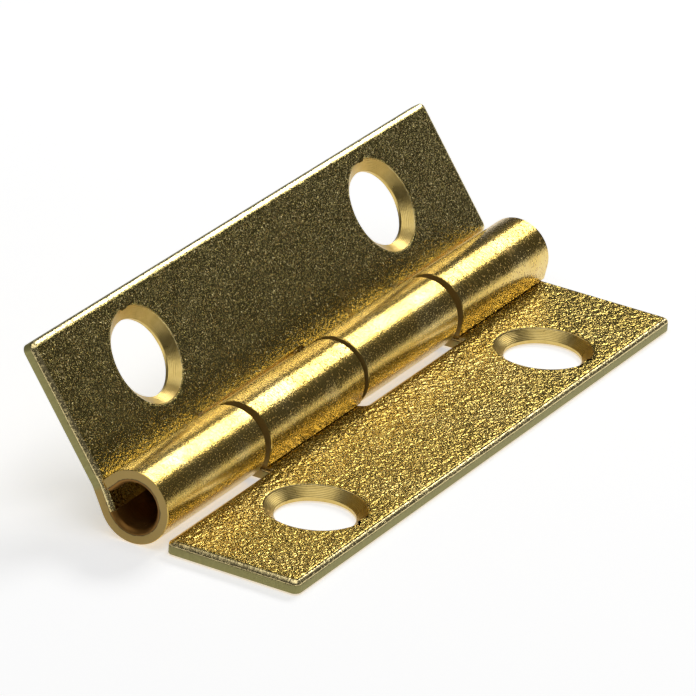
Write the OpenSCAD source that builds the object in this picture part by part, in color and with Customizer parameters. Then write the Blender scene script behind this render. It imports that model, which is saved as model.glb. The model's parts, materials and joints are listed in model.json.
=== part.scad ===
// Light butt hinge: two pressed and rolled sheet leaves on one wire pin.
//
// Frame: +X runs along the pin, +Z is up. The front leaf lies flat with its
// back face on Z = 0 and reaches towards -Y. The origin is on that back face,
// in the middle of the front leaf's row of screw holes. The rear leaf stands
// up behind the pin, turned open by open_angle.

/* [Leaves] */
// Length of the hinge along the pin
hinge_len = 38; // [34:1:60]
// From the pin's axis to a leaf's free edge
leaf_w = 9.1; // [9:0.1:16]
// Thickness of the sheet
sheet_t = 0.7; // [0.55:0.05:0.9]
// Corner radius at the two ends of the free edge
free_corner_r = 0.3; // [0.2:0.1:1.5]
// Radius of the inner corner, beside the other leaf's end knuckle
end_corner_r = 0.2; // [0.1:0.1:1.2]

/* [Knuckles] */
// Gap between the two knuckles in the middle of the barrel
middle_gap = 0.3; // [0.2:0.05:1]
// Gap between an end knuckle and the next one
side_gap = 0.65; // [0.2:0.05:1.2]
// Room between the front leaf's notches and the knuckles that turn in them
front_notch_clear = 0.3; // [0.1:0.05:0.5]
// Room between the rear leaf's notches and the knuckles that turn in them
rear_notch_clear = 0.1; // [0.1:0.05:0.5]
// Radius of the notch's inner corner beside the inner knuckle
notch_corner_r = 0.5; // [0.1:0.05:0.6]
// How far the front leaf's knuckles stand past its back face
front_barrel_set = 0; // [0:0.05:0.25]
// How far the rear leaf's knuckles stand past its back face
rear_barrel_set = 0.25; // [0:0.05:0.25]
// How far the sheet's end is rolled past the level of the axis, in degrees
tail_roll = 10; // [0:1:25]
// Hairline gap where the sheet's end meets the leaf
seam_gap = 0.05; // [0.02:0.01:0.15]

/* [Pin] */
// Diameter of the pin
pin_d = 2.3; // [1.8:0.1:2.6]
// Room around the pin in the leaf that turns on it
pin_clear = 0.05; // [0.02:0.01:0.1]
// How far the pin's end sits inside the barrel at the -X end
pin_recess_left = 3; // [0.5:0.25:5]
// How far the pin's end sits inside the barrel at the +X end
pin_recess_right = 1.5; // [0.5:0.25:5]
// Chamfer on both ends of the pin
pin_chamfer = 0.25; // [0.1:0.05:0.5]

/* [Screw holes] */
// Diameter of the hole through the leaf
hole_d = 4; // [3:0.1:4.5]
// Diameter of the countersink at the front face
sink_d = 5; // [5:0.1:6]
// Full angle of the countersink, in degrees
sink_angle = 90; // [80:5:120]
// Distance between the two holes of a leaf
hole_spacing = 23; // [18:0.5:26]
// From the pin's axis to the row of holes
hole_from_axis = 5.7; // [5.5:0.1:6]

/* [Pose] */
// Angle between the leaves: 0 is folded shut and 180 is laid flat
open_angle = 126; // [0:1:260]

/* [Hidden] */
$fn = 96;

// The front leaf grips the pin and the rear leaf turns on it.
grip_bore_r = pin_d / 2;
run_bore_r = pin_d / 2 + pin_clear;
grip_roll_r = grip_bore_r + sheet_t;
run_roll_r = run_bore_r + sheet_t;

// The axis above the front leaf's row of holes and above its back face.
axis_y = hole_from_axis;
axis_z = grip_roll_r - front_barrel_set;

// From the axis to the edge of a notch: its upper corner clears the other
// leaf's knuckle by the room asked for.
function notch_edge(bore_r, barrel_set, other_roll_r, clear) =
    sqrt(pow(other_roll_r + clear, 2) - pow(bore_r - barrel_set, 2));

// Four knuckles fill the length with the three gaps between them.
knuckle_len = (hinge_len - middle_gap - 2 * side_gap) / 4;

// The same stamping makes both leaves. Its end knuckle is flush with its +X
// end, and its inner knuckle stops just short of the middle.
end_knuckle_x = hinge_len / 2 - knuckle_len;
inner_knuckle_x = -middle_gap / 2 - knuckle_len;

// How far a knuckle's neck runs into the flat of the leaf.
neck_root = 1;

// The straight sheet at both ends of a roll is a little thinner than the
// sheet on both faces, and runs back into the roll.
end_thinning = 0.02;
end_root = 0.2;

// How deep the countersink goes, kept inside the sheet by a thin land.
least_land = 0.15;
sink_depth = min((sink_d - hole_d) / 2 / tan(sink_angle / 2), sheet_t - least_land);

brass = [0.84, 0.68, 0.28];
wire = [0.72, 0.62, 0.38];
poke = 1;

// A rectangle from low to high with its own radius at each corner, in the
// order low-left, low-right, high-right, high-left. Radius 0 is a square one.
module cornered_rect(low, high, radii) {
    corners = [low, [high.x, low.y], high, [low.x, high.y]];
    inward = [[1, 1], [-1, 1], [-1, -1], [1, -1]];
    difference() {
        polygon(corners);
        for (i = [0 : 3])
            if (radii[i] > 0)
                translate(corners[i])
                    difference() {
                        translate(inward[i] * radii[i] / 2 - inward[i] * poke / 2)
                            square(radii[i] + poke, center = true);
                        translate(inward[i] * radii[i])
                            circle(r = radii[i]);
                    }
    }
}

// A fillet of radius r that fills the inner corner at the origin, where one
// wall runs along +X and the other along +Y.
module inner_fillet(r) {
    difference() {
        square(r);
        translate([r, r]) circle(r = r);
    }
}

// How steeply the sheet slopes down from a notch's edge to the roll, so that
// it meets the roll smoothly.
function neck_slope(bore_r, barrel_set, edge) =
    let (roll_r = bore_r + sheet_t, back = roll_r - barrel_set)
    atan2(edge, back) - acos(min(1, roll_r / norm([edge, back])));

// Cross-section of the neck, the straight sheet between the leaf and the roll,
// with the axis at the origin, X away from the leaf and Y up from its back.
module neck(bore_r, barrel_set, edge) {
    roll_r = bore_r + sheet_t;
    back = roll_r - barrel_set;
    slope = neck_slope(bore_r, barrel_set, edge);
    down = [-sin(slope), -cos(slope)];
    onward = [cos(slope), -sin(slope)];
    function bend(up) = [-edge + up * tan(slope / 2), up - back];
    polygon([
        (roll_r - end_thinning) * down + end_root * onward,
        (bore_r + end_thinning) * down + end_root * onward,
        bend(sheet_t - end_thinning),
        [-edge - neck_root, sheet_t - end_thinning - back],
        [-edge - neck_root, end_thinning - back],
        bend(end_thinning)
    ]);
}

// Cross-section of the tail, the straight end of the sheet that comes down
// from the roll and stops just short of the leaf's front face.
module tail(bore_r, barrel_set) {
    roll_r = bore_r + sheet_t;
    tail_at = 180 + tail_roll;
    outward = [cos(tail_at), sin(tail_at)];
    onward = [-sin(tail_at), cos(tail_at)];
    end_y = barrel_set - bore_r + seam_gap;
    function root(r) = r * outward - end_root * onward;
    function end(r) = root(r) + onward * (end_y - root(r).y) / onward.y;
    polygon([
        root(bore_r + end_thinning),
        root(roll_r - end_thinning),
        end(roll_r - end_thinning),
        end(bore_r + end_thinning)
    ]);
}

// One rolled knuckle, starting at x. The sheet comes from the leaf along its
// back, goes round the pin, and its straight end comes down on the front.
module knuckle(x, bore_r, barrel_set, edge) {
    slope = neck_slope(bore_r, barrel_set, edge);
    translate([x, 0, 0])
        rotate([90, 0, 90]) {
            rotate([0, 0, -90 - slope])
                rotate_extrude(angle = 270 + tail_roll + slope)
                    translate([bore_r, 0])
                        square([sheet_t, knuckle_len]);
            linear_extrude(height = knuckle_len) {
                neck(bore_r, barrel_set, edge);
                tail(bore_r, barrel_set);
            }
        }
}

// Outline of the flat part of the stamping, with the pin's axis on Y = 0 and
// the free edge at Y = -leaf_w.
module plate_outline(edge, clear) {
    half = hinge_len / 2;
    cornered_rect([-half, -leaf_w], [half, -edge],
                  [free_corner_r, free_corner_r, 0, end_corner_r]);
    translate([-middle_gap / 2, -edge])
        inner_fillet(min(notch_corner_r, middle_gap + clear));
}

// A countersunk screw hole through the sheet, its back end at the origin.
module screw_hole() {
    translate([0, 0, -poke])
        cylinder(h = sheet_t + 2 * poke, d = hole_d);
    translate([0, 0, sheet_t - sink_depth])
        cylinder(h = sink_depth + poke,
                 r1 = hole_d / 2,
                 r2 = hole_d / 2 + (sink_depth + poke) * tan(sink_angle / 2));
}

// A whole leaf in the stamping's own frame: the pin's axis on X, the leaf
// towards -Y with its back face down, rolled round a bore of bore_r.
// other_roll_r is the outer radius of the knuckles that turn in its notches,
// and clear is the room they have.
module stamping(bore_r, barrel_set, other_roll_r, clear) {
    edge = notch_edge(bore_r, barrel_set, other_roll_r, clear);
    back_z = barrel_set - (bore_r + sheet_t);
    difference() {
        union() {
            translate([0, 0, back_z])
                linear_extrude(height = sheet_t)
                    plate_outline(edge, clear);
            for (x = [end_knuckle_x, inner_knuckle_x])
                knuckle(x, bore_r, barrel_set, edge);
        }
        for (side = [-1, 1])
            translate([side * hole_spacing / 2, -hole_from_axis, back_z])
                screw_hole();
    }
}

// The leaf that lies flat and grips the pin.
module front_leaf() {
    color(brass)
        translate([0, axis_y, axis_z])
            stamping(grip_bore_r, front_barrel_set, run_roll_r, front_notch_clear);
}

// The leaf that stands up behind the pin and turns on it. It is stamped like
// the front leaf and turned end for end, so its knuckles fall in the front
// leaf's notches, then swung up from laid flat.
module rear_leaf() {
    color(brass)
        translate([0, axis_y, axis_z])
            rotate([180 - open_angle, 0, 0])
                rotate([0, 0, 180])
                    stamping(run_bore_r, rear_barrel_set, grip_roll_r, rear_notch_clear);
}

// The wire pin, below the barrel's ends, with a chamfer on each end.
module hinge_pin() {
    pin_len = hinge_len - pin_recess_left - pin_recess_right;
    profile = [
        [0, 0],
        [pin_d / 2 - pin_chamfer, 0],
        [pin_d / 2, pin_chamfer],
        [pin_d / 2, pin_len - pin_chamfer],
        [pin_d / 2 - pin_chamfer, pin_len],
        [0, pin_len]
    ];
    color(wire)
        translate([-hinge_len / 2 + pin_recess_left, axis_y, axis_z])
            rotate([0, 90, 0])
                rotate_extrude()
                    polygon(profile);
}

front_leaf();
rear_leaf();
hinge_pin();
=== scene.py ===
"""A light butt hinge standing part open: two stamped and rolled leaves on a wire pin."""
import json
import math

import bmesh
import bpy
from mathutils import Matrix, Vector, noise


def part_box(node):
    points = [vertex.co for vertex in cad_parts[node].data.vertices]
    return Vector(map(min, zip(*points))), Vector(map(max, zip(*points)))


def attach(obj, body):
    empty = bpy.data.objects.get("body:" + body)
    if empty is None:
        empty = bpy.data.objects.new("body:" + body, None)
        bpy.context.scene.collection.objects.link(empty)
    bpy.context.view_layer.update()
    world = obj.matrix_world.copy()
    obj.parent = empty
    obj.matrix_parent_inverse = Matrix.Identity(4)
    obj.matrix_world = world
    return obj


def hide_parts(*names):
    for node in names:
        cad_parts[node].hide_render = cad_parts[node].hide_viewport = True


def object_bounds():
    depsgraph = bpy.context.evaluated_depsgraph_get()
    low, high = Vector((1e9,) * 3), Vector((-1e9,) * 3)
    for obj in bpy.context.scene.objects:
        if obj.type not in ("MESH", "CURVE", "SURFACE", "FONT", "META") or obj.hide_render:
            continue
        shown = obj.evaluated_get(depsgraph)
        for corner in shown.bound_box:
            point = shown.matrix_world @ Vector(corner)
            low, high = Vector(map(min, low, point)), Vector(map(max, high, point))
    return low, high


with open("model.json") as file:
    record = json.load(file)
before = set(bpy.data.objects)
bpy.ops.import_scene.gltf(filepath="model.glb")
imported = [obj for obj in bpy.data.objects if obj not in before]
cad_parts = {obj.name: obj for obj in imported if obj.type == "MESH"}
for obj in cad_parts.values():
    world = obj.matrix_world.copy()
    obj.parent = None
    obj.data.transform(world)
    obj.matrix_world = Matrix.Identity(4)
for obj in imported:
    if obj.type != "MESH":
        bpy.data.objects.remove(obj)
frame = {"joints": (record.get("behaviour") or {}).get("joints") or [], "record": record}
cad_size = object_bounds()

MM = 0.001

# ---------------------------------------------------------------- sizes, mm
swing = frame["joints"][0]
AXIS = Vector(swing["pos_m"]) / MM
FRONT_LOW, FRONT_HIGH = (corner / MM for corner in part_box("front_leaf"))
PIN_LOW, PIN_HIGH = (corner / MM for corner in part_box("hinge_pin"))
REAR_BACK = next(m for m in frame["record"]["mounts"] if m["name"] == "rear_back_face")

HALF_LEN = FRONT_HIGH.x
LEAF_W = AXIS.y - FRONT_LOW.y
PIN_R = (PIN_HIGH.z - PIN_LOW.z) / 2
SHEET = 0.7
PIN_CLEAR = 0.05
PIN_CHAMFER = 0.25
FRONT_BORE_R = PIN_R
REAR_BORE_R = PIN_R + PIN_CLEAR
FRONT_ROLL_R = FRONT_BORE_R + SHEET
REAR_ROLL_R = REAR_BORE_R + SHEET
# How far each leaf's knuckles stand past its back face.
FRONT_SET = FRONT_ROLL_R - AXIS.z
BACK_WAY = Vector(REAR_BACK["axis"])
REAR_SET = REAR_ROLL_R - (Vector(REAR_BACK["pos_m"]) / MM - AXIS).dot(BACK_WAY)

MIDDLE_GAP = 0.3
SIDE_GAP = 0.65
FRONT_CLEAR = 0.3
REAR_CLEAR = 0.1
KNUCKLE_LEN = (2 * HALF_LEN - MIDDLE_GAP - 2 * SIDE_GAP) / 4
FREE_CORNER_R = 0.36
END_CORNER_R = 0.36
NOTCH_CORNER_R = 0.5
TAIL_ROLL = math.radians(10)
SEAM_GAP = 0.05

HOLE_X = 11.5
HOLE_R = 2.0
SINK_R = 2.5
SINK_DEPTH = 0.5
HOLE_S = -AXIS.y
NEAR_HOLE_R = HOLE_R + 0.01

# How the punched edge rolls over, ring by ring inwards: the ring's width, how
# far its points are drawn down at a cut edge, and how far round a countersink.
# The last ring stays level, so the flat of the face is shaded flat.
ROLL_OVER = [(0.02, 0.215, 0.060), (0.03, 0.165, 0.030), (0.09, 0.122, 0.008),
             (0.10, 0.066, 0.0), (0.06, 0.012, 0.0), (0.04, 0.0, 0.0)]
# The softer edge of the back: its width, its height, and a level ring inside.
BACK_EDGE_W = 0.045
BACK_EDGE_RISE = 0.030
BACK_LEVEL_W = 0.05

CORNER_STEPS = 8
HOLE_STEPS = 80
ROLL_STEPS = 64
KNUCKLE_COLUMNS = 26
MERGE = 1e-4
SHARP_ANGLE = math.radians(33)

# Material places on a leaf.
PLATE, SHEAR, SINK, BORE = 0, 1, 2, 3


# ----------------------------------------------------------------- helpers
def in_order(things):
    """Each thing once, in the order it comes, so that every run is the same."""
    return list(dict.fromkeys(things))


def parts_of(faces):
    """The points, edges and faces of a face region, for a cut."""
    return (in_order(v for f in faces for v in f.verts)
            + in_order(e for f in faces for e in f.edges) + faces)


def to_object(bm, name):
    mesh = bpy.data.meshes.new(name)
    bm.to_mesh(mesh)
    bm.free()
    piece = bpy.data.objects.new(name, mesh)
    bpy.context.scene.collection.objects.link(piece)
    return piece


def shade(bm):
    """Smooth shading, with every edge steeper than SHARP_ANGLE kept sharp."""
    for face in bm.faces:
        face.smooth = True
    for edge in bm.edges:
        edge.smooth = edge.calc_face_angle(0) < SHARP_ANGLE


# ------------------------------------------------------------------ leaves
class Stamping:
    """One leaf, made as the press makes it: a flat blank with two tongues that
    is punched, countersunk and rolled. X is along the pin, S is across the
    blank with the pin's axis on S = 0, and T is up through the sheet."""

    def __init__(self, bore_r, barrel_set, other_roll_r, clear, seed):
        self.bore_r = bore_r
        self.roll_r = bore_r + SHEET
        self.mid_r = bore_r + SHEET / 2
        self.back = self.roll_r - barrel_set
        self.notch = math.sqrt((other_roll_r + clear) ** 2 - (bore_r - barrel_set) ** 2)
        self.corner_r = min(NOTCH_CORNER_R, MIDDLE_GAP + clear)
        # The sheet slopes down from the notch's edge to meet the roll smoothly.
        self.slope = (math.atan2(self.notch, self.back)
                      - math.acos(min(1, self.roll_r / math.hypot(self.notch, self.back))))
        self.first_turn = -math.pi / 2 - self.slope
        self.last_turn = math.pi + TAIL_ROLL
        self.tail_floor = barrel_set - bore_r + SEAM_GAP
        self.seed = seed
        self.roll_len = self.mid_r * (self.last_turn - self.first_turn)
        self.tail_len = self.tail_point(self.mid_r)[1]
        self.end = self.roll_len + self.tail_len
        self.bm = bmesh.new()

    # The straight tail: where it starts at radius r, and how long it is there.
    def tail_point(self, r):
        start = Vector((r * math.cos(self.last_turn), r * math.sin(self.last_turn)))
        return start, (self.tail_floor - start.y) / math.cos(self.last_turn)

    def blank(self):
        bm = self.bm
        inner = -MIDDLE_GAP / 2
        outline = [(-HALF_LEN, -LEAF_W), (HALF_LEN, -LEAF_W), (HALF_LEN, self.end),
                   (HALF_LEN - KNUCKLE_LEN, self.end), (HALF_LEN - KNUCKLE_LEN, -self.notch),
                   (inner, -self.notch), (inner, self.end),
                   (inner - KNUCKLE_LEN, self.end), (inner - KNUCKLE_LEN, -self.notch),
                   (-HALF_LEN, -self.notch)]
        corners = [bm.verts.new((x, s, 0)) for x, s in outline]
        bm.faces.new(corners)
        rounded = (((0, 1), FREE_CORNER_R), ((9,), END_CORNER_R), ((5,), self.corner_r))
        for group, radius in rounded:
            bmesh.ops.bevel(bm, geom=[corners[i] for i in group], offset=radius,
                            offset_type="OFFSET", affect="VERTICES", segments=CORNER_STEPS,
                            profile=0.5, material=-1)
        bmesh.ops.delete(bm, geom=bm.faces[:], context="FACES_ONLY")
        for side in (-1, 1):
            bmesh.ops.create_circle(bm, cap_ends=False, segments=HOLE_STEPS, radius=HOLE_R,
                                    matrix=Matrix.Translation((side * HOLE_X, HOLE_S, 0)))
        bmesh.ops.triangle_fill(bm, use_beauty=True, edges=bm.edges[:], normal=(0, 0, 1))

    # The back is lifted to make the front, which opens into the countersinks.
    def thicken(self):
        bm = self.bm
        made = bmesh.ops.extrude_face_region(bm, geom=bm.faces[:])["geom"]
        lifted = [g for g in made if isinstance(g, bmesh.types.BMVert)]
        bmesh.ops.translate(bm, verts=lifted, vec=(0, 0, SHEET))
        bmesh.ops.recalc_face_normals(bm, faces=bm.faces[:])
        for face in bm.faces:
            flat = abs(face.normal.z) > 0.5
            near_hole = self.hole_of(face.calc_center_median(), NEAR_HOLE_R) is not None
            face.material_index = PLATE if flat else SINK if near_hole else SHEAR
        for vert in bm.verts:
            if vert.co.z > SHEET / 2 and self.hole_of(vert.co, NEAR_HOLE_R) is not None:
                self.to_radius(vert, SINK_R)

    def hole_of(self, point, reach):
        """The centre of the screw hole within reach of a point, if there is one."""
        for side in (-1, 1):
            centre = Vector((side * HOLE_X, HOLE_S))
            if (point.xy - centre).length < reach:
                return centre
        return None

    def to_radius(self, vert, radius):
        centre = self.hole_of(vert.co, SINK_R + 1)
        vert.co.xy = centre + (vert.co.xy - centre).normalized() * radius

    def inset_ring(self, faces, width):
        """Narrow a face region all round, and return the points it leaves behind."""
        made = bmesh.ops.inset_region(self.bm, faces=faces, thickness=width, depth=0,
                                      use_boundary=True, use_even_offset=False)["faces"]
        inside = {v for f in faces for v in f.verts}
        return in_order(v for f in made for v in f.verts if v not in inside)

    def refill(self, faces, up):
        """Replace the triangles of a flat region, so none is folded by the insets."""
        inside = set(faces)
        rim = [e for e in in_order(e for f in faces for e in f.edges)
               if any(g not in inside for g in e.link_faces)]
        bmesh.ops.delete(self.bm, geom=faces, context="FACES_KEEP_BOUNDARY")
        bmesh.ops.triangle_fill(self.bm, use_beauty=True, edges=rim, normal=(0, 0, up))

    # The rolled-over rim of the face the punch pulls down, and the soft lip
    # that the countersink leaves.
    def roll_over(self):
        flat = [f for f in self.bm.faces if f.material_index == PLATE]
        top = [f for f in flat if f.calc_center_median().z > SHEET / 2]
        back = [f for f in flat if f.calc_center_median().z < SHEET / 2]
        rings = [self.inset_ring(top, width) for width, drop, lip in ROLL_OVER]
        for ring, (width, drop, lip) in zip(rings, ROLL_OVER):
            for vert in ring:
                at = Vector((vert.co.x * 1.3, vert.co.y * 1.3, self.seed))
                uneven = 1 + 0.35 * noise.noise(at) + 0.12 * noise.noise(at * 5)
                in_sink = self.hole_of(vert.co, SINK_R + 0.5) is not None
                vert.co.z -= (lip if in_sink else drop) * uneven
        for vert in self.inset_ring(back, BACK_EDGE_W):
            at = Vector((vert.co.x * 1.6, vert.co.y * 1.6, self.seed + 5))
            vert.co.z += BACK_EDGE_RISE * (1 + 0.6 * noise.noise(at))
        self.inset_ring(back, BACK_LEVEL_W)
        self.refill(top, 1)
        self.refill(back, -1)

    # The countersink is a cone down to SINK_DEPTH, then the straight hole.
    def countersink(self):
        bm = self.bm
        for level, radius in ((SHEET - SINK_DEPTH, HOLE_R), (SHEET - SINK_DEPTH / 2, None)):
            walls = [f for f in bm.faces if f.material_index == SINK]
            cut = bmesh.ops.bisect_plane(bm, geom=parts_of(walls), dist=MERGE,
                                         plane_co=(0, 0, level), plane_no=(0, 0, 1))["geom_cut"]
            if radius:
                for vert in cut:
                    if isinstance(vert, bmesh.types.BMVert):
                        self.to_radius(vert, radius)

    # Cut lines square to a direction, through all of it or only past a level.
    def cut_lines(self, way, places, above=None):
        bm = self.bm
        for place in places:
            if above is None:
                geom = bm.verts[:] + bm.edges[:] + bm.faces[:]
            else:
                geom = parts_of([f for f in bm.faces if f.calc_center_median().y > above])
            bmesh.ops.bisect_plane(bm, geom=geom, dist=MERGE, plane_co=way * place, plane_no=way)

    def slice_for_rolling(self):
        places = [-self.notch - 0.35, -self.notch, -self.notch * 0.66, -self.notch * 0.33, 0]
        places += [self.roll_len * i / ROLL_STEPS for i in range(1, ROLL_STEPS + 1)]
        places += [self.roll_len + self.tail_len * f for f in (0.33, 0.66)]
        self.cut_lines(Vector((0, 1, 0)), places)
        # Close lines across the tongues give the barrel its small dents.
        columns = []
        for start in (HALF_LEN - KNUCKLE_LEN, -MIDDLE_GAP / 2 - KNUCKLE_LEN):
            columns += [start + KNUCKLE_LEN * i / KNUCKLE_COLUMNS
                        for i in range(1, KNUCKLE_COLUMNS)]
        self.cut_lines(Vector((1, 0, 0)), columns, above=-self.notch - 0.01)

    # Small knocks on the outside of the barrel: place along the pin, turn
    # round the barrel, half-lengths along and round, and depth.
    def knock(self, dents):
        for vert in self.bm.verts:
            if vert.co.y <= 0 or vert.co.z > SHEET * 0.25:
                continue
            turn = math.degrees(vert.co.y / self.mid_r + self.first_turn)
            for x, at, half_x, half_turn, depth in dents:
                far = math.hypot((vert.co.x - x) / half_x, (turn - at) / half_turn)
                if far < 1:
                    vert.co.z += depth * (1 - far * far) ** 2

    def rolled(self, x, s, t):
        """Where a point of the blank goes once its tongue is rolled."""
        if s <= -self.notch:
            return Vector((x, s, t - self.back))
        r = self.roll_r - t
        if s <= 0:
            bend = Vector((-self.notch + t * math.tan(self.slope / 2), t - self.back))
            meet = Vector((r * math.cos(self.first_turn), r * math.sin(self.first_turn)))
            at = bend.lerp(meet, 1 + s / self.notch)
            return Vector((x, at.x, at.y))
        if s <= self.roll_len:
            turn = s / self.mid_r + self.first_turn
            return Vector((x, r * math.cos(turn), r * math.sin(turn)))
        start, length = self.tail_point(r)
        along = Vector((-math.sin(self.last_turn), math.cos(self.last_turn)))
        end = start + along * length * (s - self.roll_len) / self.tail_len
        return Vector((x, end.x, end.y))

    def roll(self):
        bm = self.bm
        flat = bm.verts.layers.float_vector.new("blank")
        for face in bm.faces:
            middle = face.calc_center_median()
            if face.material_index == PLATE and middle.y > 0 and middle.z > SHEET / 2:
                face.material_index = BORE
        for vert in bm.verts:
            vert[flat] = vert.co
            vert.co = self.rolled(*vert.co)

    def finish(self, name, place):
        bm = self.bm
        bmesh.ops.remove_doubles(bm, verts=bm.verts[:], dist=MERGE)
        bmesh.ops.dissolve_degenerate(bm, edges=bm.edges[:], dist=MERGE)
        bmesh.ops.transform(bm, matrix=place, verts=bm.verts[:])
        bmesh.ops.recalc_face_normals(bm, faces=bm.faces[:])
        shade(bm)
        return to_object(bm, name)


def make_leaf(name, stamping, place, dents):
    stamping.blank()
    stamping.thicken()
    stamping.countersink()
    stamping.roll_over()
    stamping.slice_for_rolling()
    stamping.knock(dents)
    stamping.roll()
    return stamping.finish(name, place)


to_metres = Matrix.Diagonal((MM, MM, MM, 1))
front_place = to_metres @ Matrix.Translation(AXIS)
lift = math.atan2(BACK_WAY.y, -BACK_WAY.z)
rear_place = (to_metres @ Matrix.Translation(AXIS) @ Matrix.Rotation(lift, 4, "X")
              @ Matrix.Rotation(math.pi, 4, "Z"))

front_stamping = Stamping(FRONT_BORE_R, FRONT_SET, REAR_ROLL_R, FRONT_CLEAR, 3.0)
rear_stamping = Stamping(REAR_BORE_R, REAR_SET, FRONT_ROLL_R, REAR_CLEAR, 11.0)
front_leaf = make_leaf("front_leaf_plate", front_stamping, front_place,
                       [(-2.7, 150, 0.9, 22, 0.035), (14.6, 143, 0.7, 14, 0.045)])
rear_leaf = make_leaf("rear_leaf_plate", rear_stamping, rear_place,
                      [(4.0, 60, 0.8, 12, 0.02)])


# --------------------------------------------------------------------- pin
def make_pin():
    bm = bmesh.new()
    length = PIN_HIGH.x - PIN_LOW.x
    bmesh.ops.create_cone(bm, cap_ends=True, cap_tris=False, segments=96,
                          radius1=PIN_R, radius2=PIN_R, depth=length)
    rims = [e for e in bm.edges if e.calc_face_angle(0) > 1]
    bmesh.ops.bevel(bm, geom=rims, offset=PIN_CHAMFER, offset_type="OFFSET", affect="EDGES",
                    segments=5, profile=0.5, material=-1)
    ends = [f for f in bm.faces if len(f.verts) > 8]
    bmesh.ops.inset_region(bm, faces=ends, thickness=0.3, depth=0, use_boundary=True,
                           use_even_offset=True)
    centre = Vector(((PIN_LOW.x + PIN_HIGH.x) / 2, AXIS.y, AXIS.z))
    turn = to_metres @ Matrix.Translation(centre) @ Matrix.Rotation(math.pi / 2, 4, "Y")
    bmesh.ops.transform(bm, matrix=turn, verts=bm.verts[:])
    shade(bm)
    return to_object(bm, "wire_pin")


wire_pin = make_pin()


# --------------------------------------------------------------- materials
class Wire:
    """A value in a material, which adds its own Math nodes when it is used in a sum."""

    def __init__(self, finish, socket):
        self.finish, self.socket = finish, socket

    def __add__(self, other): return self.finish.maths("ADD", self, other)
    def __radd__(self, other): return self.finish.maths("ADD", other, self)
    def __sub__(self, other): return self.finish.maths("SUBTRACT", self, other)
    def __rsub__(self, other): return self.finish.maths("SUBTRACT", other, self)
    def __mul__(self, other): return self.finish.maths("MULTIPLY", self, other)
    def __rmul__(self, other): return self.finish.maths("MULTIPLY", other, self)
    def __truediv__(self, other): return self.finish.maths("DIVIDE", self, other)
    def __rtruediv__(self, other): return self.finish.maths("DIVIDE", other, self)
    def __pow__(self, other): return self.finish.maths("POWER", self, other)


class Finish:
    """A material under construction."""

    def __init__(self, name):
        self.material = bpy.data.materials.new(name)
        self.material.use_nodes = True
        self.tree = self.material.node_tree
        self.shader = self.tree.nodes["Principled BSDF"]

    def node(self, kind, settings, inputs, output=0):
        made = self.tree.nodes.new("ShaderNode" + kind)
        for key, value in settings.items():
            setattr(made, key, value)
        for key, value in inputs.items():
            self.plug(made.inputs[key], value)
        return Wire(self, made.outputs[output])

    def plug(self, socket, value):
        if isinstance(value, Wire):
            self.tree.links.new(value.socket, socket)
        else:
            socket.default_value = value

    def maths(self, operation, *values):
        return self.node("Math", {"operation": operation}, dict(enumerate(values)))

    def clamp(self, value):
        return self.node("Clamp", {}, {0: value})

    def step(self, value, low, high):
        """0 below low, 1 above high, smooth between."""
        return self.node("MapRange", {"interpolation_type": "SMOOTHSTEP"},
                         {"Value": value, "From Min": low, "From Max": high})

    def mix(self, factor, one, two):
        return self.node("Mix", {"data_type": "RGBA"},
                         {0: factor, 6: self.colour(one), 7: self.colour(two)}, 2)

    def colour(self, value):
        return value if isinstance(value, Wire) or len(value) == 4 else (*value, 1)

    def noise(self, where, scale, detail=2.0, rough=0.5):
        return self.node("TexNoise", {}, {"Vector": where, "Scale": scale, "Detail": detail,
                                          "Roughness": rough})

    def stretched(self, where, scale, shift=(0, 0, 0)):
        return self.node("Mapping", {}, {"Vector": where, "Scale": scale, "Location": shift})

    def blank(self):
        """The place on the flat blank in millimetres, which a rolled tongue keeps."""
        return self.node("Attribute", {"attribute_name": "blank"}, {}, 1)

    def split(self, where):
        made = self.tree.nodes.new("ShaderNodeSeparateXYZ")
        self.plug(made.inputs[0], where)
        return [Wire(self, out) for out in made.outputs]

    def object_place(self):
        """The place on the piece in metres."""
        return self.node("TexCoord", {}, {}, 3)

    def surface(self, colour, metallic, roughness, height=None, bump=0.0):
        shader = self.shader.inputs
        self.plug(shader["Base Color"], self.colour(colour))
        self.plug(shader["Metallic"], metallic)
        self.plug(shader["Roughness"], roughness)
        if height is not None:
            normal = self.node("Bump", {}, {"Height": height, "Strength": 1.0, "Distance": bump})
            self.plug(shader["Normal"], normal)
        return self.material


GOLD = (0.80, 0.56, 0.135)
DEEP_GOLD = (0.62, 0.36, 0.06)
PALE_GOLD = (0.90, 0.74, 0.36)
COPPER = (0.55, 0.25, 0.09)
PAINTED_GLINT_GOLD = (1.0, 0.84, 0.42)
# Plain, stained and pale plating on the flat of each leaf: darker copies of the barrel's gold as
# painted shade, the front a little darker and the rear much darker.
FRONT_PAINTED_SHADE_TONES = ((0.66, 0.48, 0.105), (0.48, 0.31, 0.05), (0.78, 0.61, 0.22))
REAR_PAINTED_SHADE_TONES = ((0.42, 0.34, 0.10), (0.30, 0.19, 0.05), (0.50, 0.42, 0.15))


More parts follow.
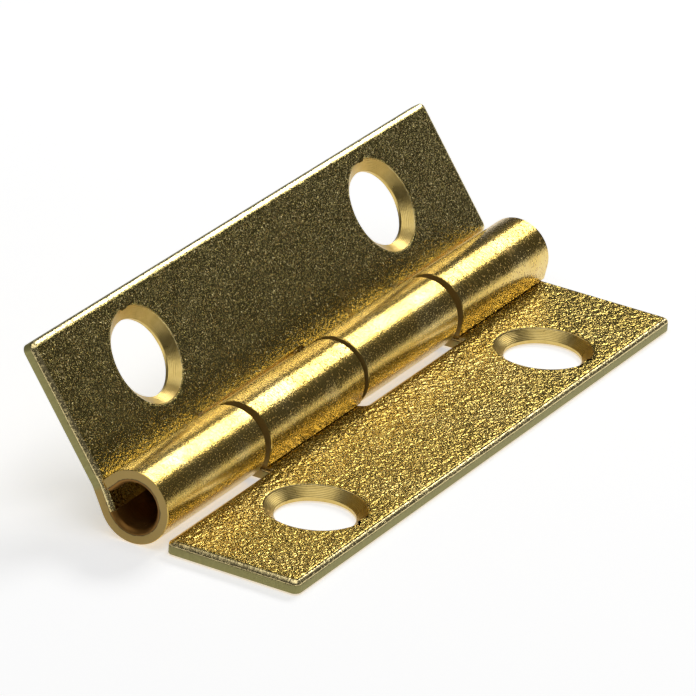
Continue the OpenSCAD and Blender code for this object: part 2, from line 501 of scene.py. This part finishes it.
def plated(name, pebble_depth, pebble_size, tones, glints):
    """Bright plating over the pebbled sheet: the faces of a leaf and the outside
    of its barrel. The pebbles' depth is in metres and their size in millimetres."""
    f = Finish(name)
    at = f.blank()
    _, s, t = f.split(at)
    pebble = f.noise(at, 1 / pebble_size, 2.0, 0.55)
    grit = f.noise(at, 2.6 / pebble_size, 1.0, 0.5)
    sweep = f.noise(at, 0.35, 2.0, 0.5)
    pit_noise = f.noise(f.stretched(at, (1, 1, 1), (7, 3, 0)), 2.2 / pebble_size, 0.0)
    pits = f.step(pit_noise, 0.66, 0.74)
    # The rolled tongues are rubbed smoother, with fine scratches round them.
    barrel = f.step(s, -0.6, 0.4)
    rubs = f.noise(f.stretched(at, (9, 0.7, 1)), 1.0, 3.0, 0.6)
    fine_rubs = f.noise(f.stretched(at, (22, 1.6, 1)), 1.0, 1.0, 0.6)
    # The rolled-over rim is stretched smooth, and painted pale gold as a painted highlight.
    rim = (1 - f.step(t, SHEET - 0.05, SHEET - 0.006)) * f.step(t, 0.4, 0.45) * (1 - barrel)
    height = (pebble * (1 - barrel * 0.86) + grit * (0.25 - barrel * 0.15)
              + (rubs * 0.20 + fine_rubs * 0.10) * barrel - pits * 0.5) * (1 - rim * 0.75)
    # Single grains of the plating are raised to catch the light, and are also painted bright as
    # painted glints.
    glint = (f.step(f.noise(f.stretched(at, (1, 1, 1), (4, 1, 6)), 9.0, 1.0, 0.6), 0.63, 0.70)
             * f.step(f.noise(at, 1.4, 2.0, 0.6), 0.35, 0.62) * (1 - barrel) * glints)
    stain = f.step(f.noise(f.stretched(at, (1, 1, 1), (2, 9, 4)), 0.9, 4.0, 0.65), 0.55, 0.78)
    plain, deep, pale = (f.mix(barrel, tone, round_tone)
                         for tone, round_tone in zip(tones, (GOLD, DEEP_GOLD, PALE_GOLD)))
    colour = f.mix(f.clamp(stain * 0.55), plain, deep)
    colour = f.mix(f.clamp(pits * 0.5), colour, COPPER)
    colour = f.mix(f.clamp(f.step(sweep, 0.45, 0.7) * 0.35), colour, pale)
    # The pale gold on the rim is a painted highlight.
    colour = f.mix(f.clamp(rim), colour, PALE_GOLD)
    # Painted glints: the raised grains are also painted bright gold.
    colour = f.mix(f.clamp(glint), colour, PAINTED_GLINT_GOLD)
    roughness = 0.17 + stain * 0.12 + grit * 0.08 + pits * 0.1 + rim * 0.05 + glint * 0.20
    return f.surface(colour, 1.0, roughness, height + glint * 1.3, pebble_depth)


def sheared(name):
    """The dull face that the shear leaves, torn along its top, browner on a tongue."""
    f = Finish(name)
    at = f.blank()
    _, s, t = f.split(at)
    drag = f.noise(f.stretched(at, (7, 7, 1.1)), 1.0, 3.0, 0.6)
    torn = f.step(t + f.noise(at, 3.5, 3.0, 0.7) * 0.16, SHEET - 0.20, SHEET - 0.16)
    tongue = f.step(s, -1.7, -1.2)
    colour = f.mix(drag, (0.26, 0.23, 0.070), (0.46, 0.42, 0.17))
    colour = f.mix(f.clamp(tongue * 0.75), colour, (0.46, 0.29, 0.08))
    colour = f.mix(f.clamp(torn * 0.9), colour, (0.06, 0.035, 0.010))
    return f.surface(colour, 0.55, 0.42 + drag * 0.2, drag, 0.000012)


def countersunk(name):
    """The turned cone and the hole, with rings from the tool."""
    f = Finish(name)
    at = f.blank()
    flat = f.node("VectorMath", {"operation": "MULTIPLY"}, {0: at, 1: (1, 1, 0)})
    left, right = (f.node("VectorMath", {"operation": "DISTANCE"}, {0: flat, 1: (x, HOLE_S, 0)}, 1)
                   for x in (-HOLE_X, HOLE_X))
    out = f.maths("MINIMUM", left, right)
    t = f.split(at)[2]
    rings = f.maths("SINE", out * 70 + t * 30 + f.noise(at, 1.5, 2.0) * 3)
    chatter = f.noise(at, 3.0, 3.0, 0.6)
    colour = f.mix(chatter, (0.58, 0.40, 0.10), (0.86, 0.66, 0.25))
    return f.surface(colour, 1.0, 0.22 + chatter * 0.18, rings * 0.4 + chatter, 0.000010)


def bored(name):
    """The inside of a rolled knuckle: dull, and painted dark brown as painted shade in the bore.
    """
    f = Finish(name)
    at = f.blank()
    grain = f.noise(f.stretched(at, (3, 1, 1)), 2.0, 4.0, 0.6)
    # The dark browns are painted shade inside the knuckle.
    colour = f.mix(grain, (0.16, 0.07, 0.015), (0.42, 0.22, 0.05))
    return f.surface(colour, 0.9, 0.42 + grain * 0.2, grain, 0.000012)


def drawn_wire(name):
    """The pin: drawn wire, thinly plated, with fine lines along it."""
    f = Finish(name)
    at = f.object_place()
    lines = f.noise(f.stretched(at, (400, 14000, 14000)), 1.0, 3.0, 0.6)
    dull = f.noise(f.stretched(at, (900, 900, 900)), 1.0, 3.0, 0.6)
    colour = f.mix(dull, (0.40, 0.25, 0.08), (0.66, 0.48, 0.18))
    return f.surface(colour, 1.0, 0.30 + dull * 0.18, lines, 0.000008)


edge = sheared("sheared_edge")
sink = countersunk("turned_countersink")
bore = bored("rolled_bore_painted_shade")
# The rear leaf's flat takes the darkest tones as painted shade, and the strongest painted glints.
for piece, face in ((front_leaf, plated("plated_front", 0.000075, 0.27, FRONT_PAINTED_SHADE_TONES, 0.3)),
                    (rear_leaf, plated("plated_rear_painted_shade", 0.000055, 0.17, REAR_PAINTED_SHADE_TONES, 1.0))):
    for material in (face, edge, sink, bore):
        piece.data.materials.append(material)
wire_pin.data.materials.append(drawn_wire("drawn_wire"))

# ------------------------------------------------------------------- stage
FLOOR_LEVEL = cad_size[0].z
FLOOR_DROP = 0.00002
FLOOR_R = 0.9


def make_floor():
    bm = bmesh.new()
    bmesh.ops.create_circle(bm, cap_ends=True, segments=96, radius=FLOOR_R,
                            matrix=Matrix.Translation((0, 0.005, FLOOR_LEVEL - FLOOR_DROP)))
    made = to_object(bm, "floor")
    pale = Finish("pale_floor")
    mottle = pale.noise(pale.object_place(), 30.0, 2.0)
    made.data.materials.append(
        pale.surface(pale.mix(mottle, (0.90, 0.90, 0.90), (0.93, 0.93, 0.93)), 0.0, 0.85))
    # The floor is a lit white panel, so the hinge throws next to no shadow.
    pale.shader.inputs["Emission Color"].default_value = (1, 1, 1, 1)
    pale.shader.inputs["Emission Strength"].default_value = 0.50
    return made


floor = make_floor()


def soft_light(name, azimuth, elevation, distance, width, height, watts):
    """A soft box that faces the hinge: degrees round from +X, degrees up, metres, watts."""
    a, e = math.radians(azimuth), math.radians(elevation)
    way = Vector((math.cos(e) * math.cos(a), math.cos(e) * math.sin(a), math.sin(e)))
    lamp = bpy.data.lights.new(name, "AREA")
    lamp.shape = "RECTANGLE"
    lamp.size, lamp.size_y = width, height
    lamp.energy = watts
    box = bpy.data.objects.new(name, lamp)
    box.location = Vector((0, 0.006, 0.002)) + way * distance
    box.rotation_euler = way.to_track_quat("Z", "Y").to_euler()
    bpy.context.scene.collection.objects.link(box)


soft_light("key_box", 2, 39, 0.40, 0.20, 0.10, 0.50)
soft_light("overhead_box", 200, 78, 0.60, 0.60, 0.60, 1.4)

world = bpy.data.worlds.new("studio")
world.use_nodes = True
surround = world.node_tree.nodes["Background"].inputs
surround["Color"].default_value = (1.0, 1.0, 1.0, 1)
surround["Strength"].default_value = 0.055
bpy.context.scene.world = world
bpy.context.scene.view_settings.view_transform = "Standard"

# ------------------------------------------------------------------ camera
CAM_AZIMUTH, CAM_ELEVATION, CAM_ROLL = (math.radians(d) for d in (-61.927, 24.603, -4.372))
CAM_TARGET = Vector((-0.000576, 0.004736, 0.003722))
CAM_DISTANCE = 0.33123

lens = bpy.data.cameras.new("camera")
lens.lens = 347.69
lens.sensor_width = 36
lens.clip_start = 0.01
camera = bpy.data.objects.new("camera", lens)
away = Vector((math.sin(CAM_AZIMUTH) * math.cos(CAM_ELEVATION),
               -math.cos(CAM_AZIMUTH) * math.cos(CAM_ELEVATION), math.sin(CAM_ELEVATION)))
level_right = Vector((0, 0, 1)).cross(away).normalized()
level_up = away.cross(level_right)
up = level_up * math.cos(CAM_ROLL) + level_right * math.sin(CAM_ROLL)
right = up.cross(away)
camera.matrix_world = Matrix.Translation(CAM_TARGET + away * CAM_DISTANCE) @ Matrix(
    (right, up, away)).transposed().to_4x4()
bpy.context.scene.collection.objects.link(camera)
bpy.context.scene.camera = camera

# ------------------------------------------------------------------- frame
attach(front_leaf, "front")
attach(wire_pin, "front")
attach(rear_leaf, "rear")
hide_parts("front_leaf")
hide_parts("hinge_pin")
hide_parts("rear_leaf")
